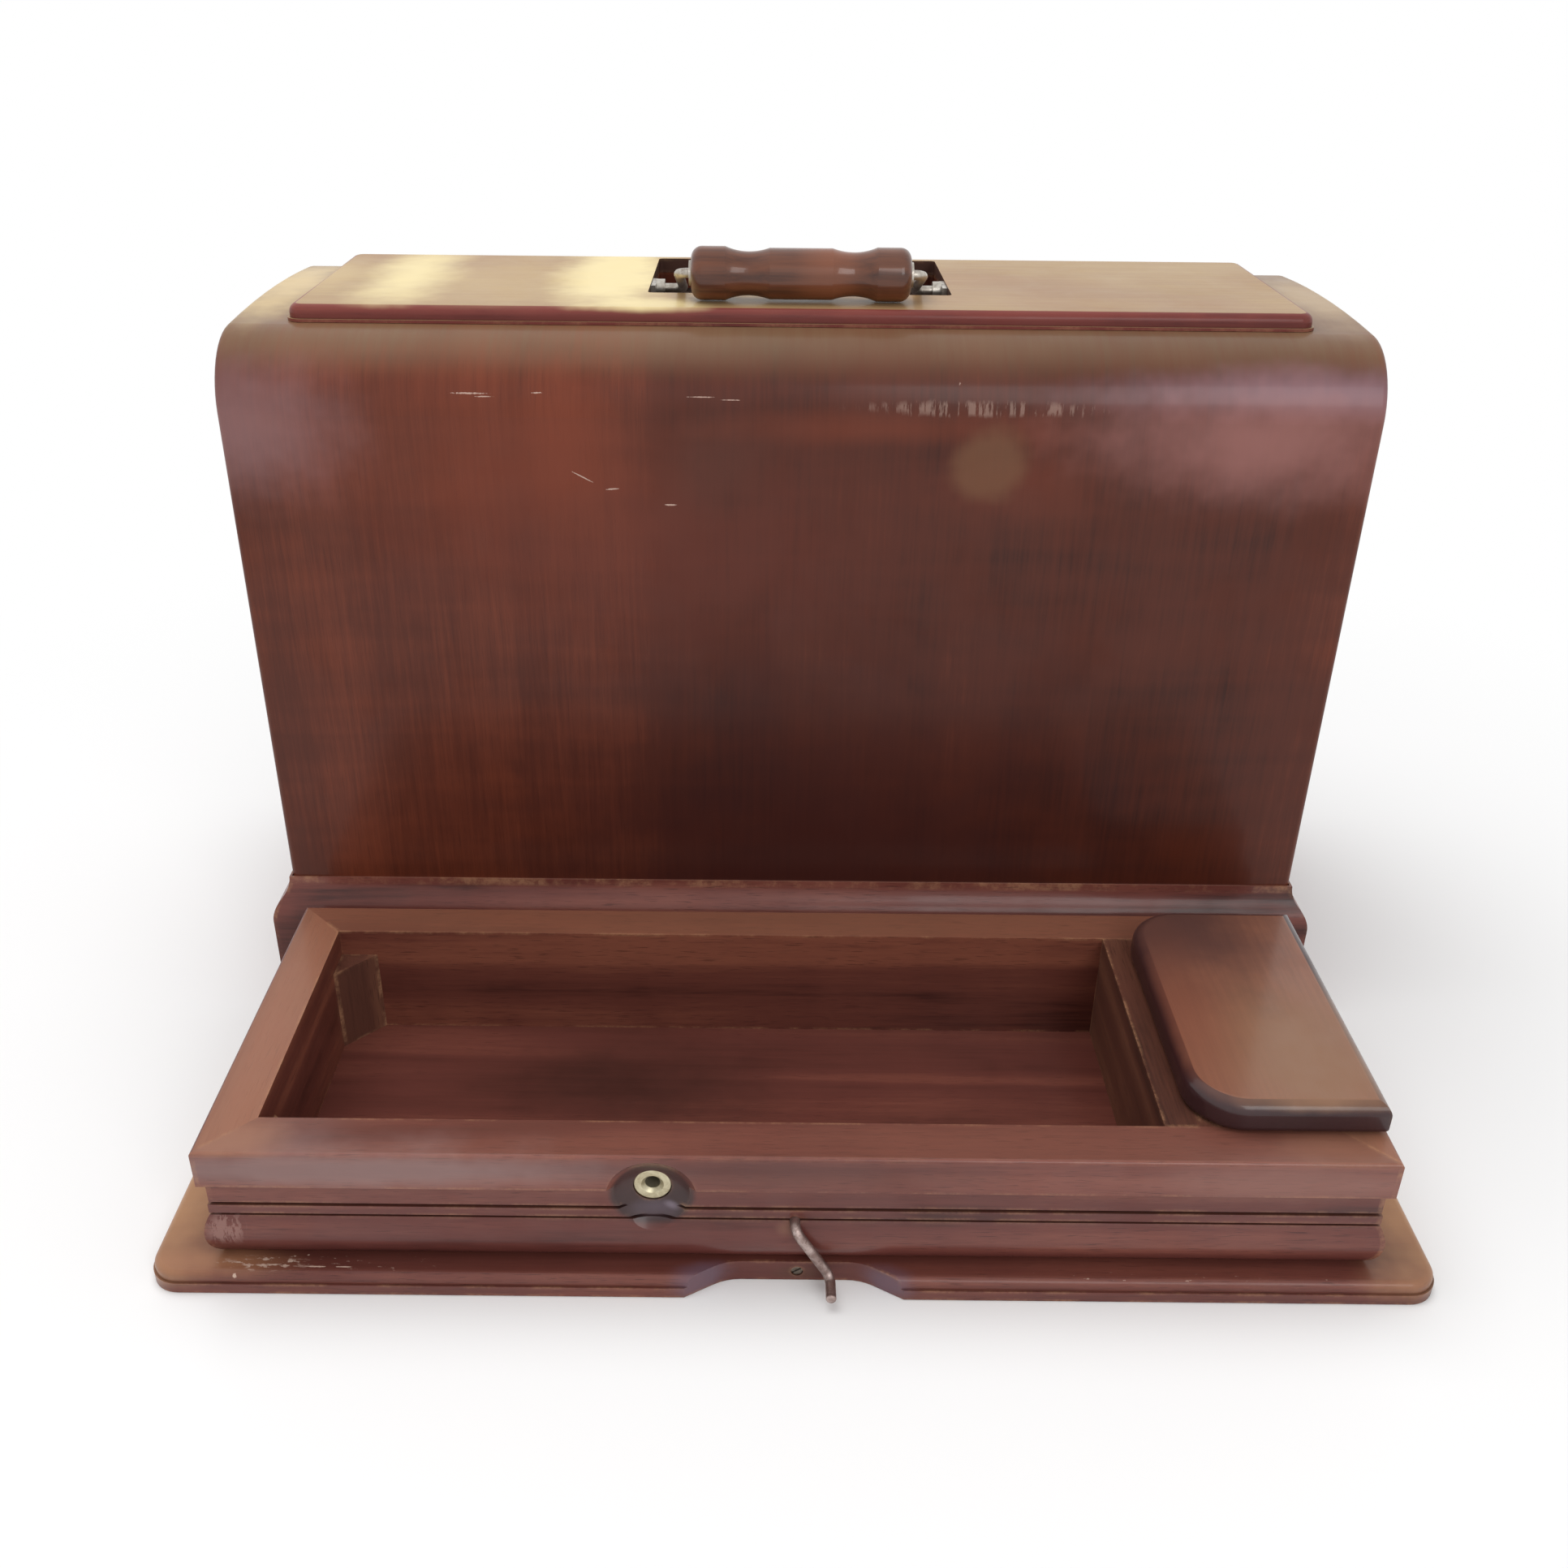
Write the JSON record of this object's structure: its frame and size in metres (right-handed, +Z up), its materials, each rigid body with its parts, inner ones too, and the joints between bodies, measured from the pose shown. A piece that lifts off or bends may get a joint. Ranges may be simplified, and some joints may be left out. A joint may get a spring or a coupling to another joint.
{
  "type": "sewing machine case",
  "caption": "Antique wooden sewing machine case: moulded base box with hinged compartment lid and turn latch, and bentwood lift-off cover with folding handle.",
  "frame": {"origin": "centre of the plinth's underside, the face that the base box stands on", "axes": "+X along the case to the right, towards the hinged compartment lid; +Y from the front, which has the latch, towards the back, where the cover stands; +Z up"},
  "size_m": [0.495, 0.3892, 0.344],
  "materials": {
    "case_wood": "french polished",
    "inner_wood": "oiled",
    "grip_wood": "polished",
    "ferrule_metal": "nickel plated",
    "hinge_brass": "aged",
    "latch_steel": "worn nickel",
    "handle_steel": "worn nickel",
    "screw_steel": "dull"
  },
  "bodies": {
    "base": {"plinth_board": "case_wood", "plinth_edge_screw": "screw_steel", "plinth_screws": "screw_steel", "front_board": "case_wood", "back_board": "case_wood", "left_board": "case_wood", "right_board": "case_wood", "well_partition": "inner_wood", "corner_blocks": "inner_wood", "lock_socket_ferrule": "ferrule_metal", "hinge_leaves_base": "hinge_brass", "hinge_pins": "hinge_brass", "hinge_screws_base": "hinge_brass"},
    "lid": {"compartment_lid": "case_wood", "hinge_leaves_lid": "hinge_brass", "hinge_screws_lid": "hinge_brass"},
    "latch": {"latch_lever": "latch_steel", "latch_finger": "latch_steel", "latch_washer": "latch_steel", "latch_nut": "latch_steel"},
    "cover": {"bentwood_shell": "case_wood", "end_panel_left": "case_wood", "end_panel_right": "case_wood", "skirt_front": "case_wood", "skirt_back": "case_wood", "skirt_left": "case_wood", "skirt_right": "case_wood", "cover_lock_ferrule": "ferrule_metal", "top_board": "case_wood", "handle_well": "inner_wood", "bail_eye_left": "handle_steel", "bail_eye_right": "handle_steel", "bail_eye_screws": "handle_steel"},
    "handle": {"bail_wire": "handle_steel", "handle_grip": "grip_wood", "grip_washers": "handle_steel"}
  },
  "joints": [
    {"name": "lid_hinge", "type": "hinge", "parent": "base", "child": "lid", "pos_m": [0.2237, 0, 0.06215], "axis": [0, 1, 0], "range_deg": [0, 178]},
    {"name": "latch_turn", "type": "hinge", "parent": "base", "child": "latch", "pos_m": [0, -0.082, 0.0295], "axis": [0, 1, 0], "range_deg": [0, 60]},
    {"name": "cover_lift", "type": "slide", "parent": "base", "child": "cover", "axis": [0, 0, 1], "range_m": [0, 0.3]},
    {"name": "handle_swing", "type": "hinge", "parent": "cover", "child": "handle", "pos_m": [0, 0.1925, 0.319], "axis": [-1, 0, 0], "range_deg": [0, 110]}
  ]
}
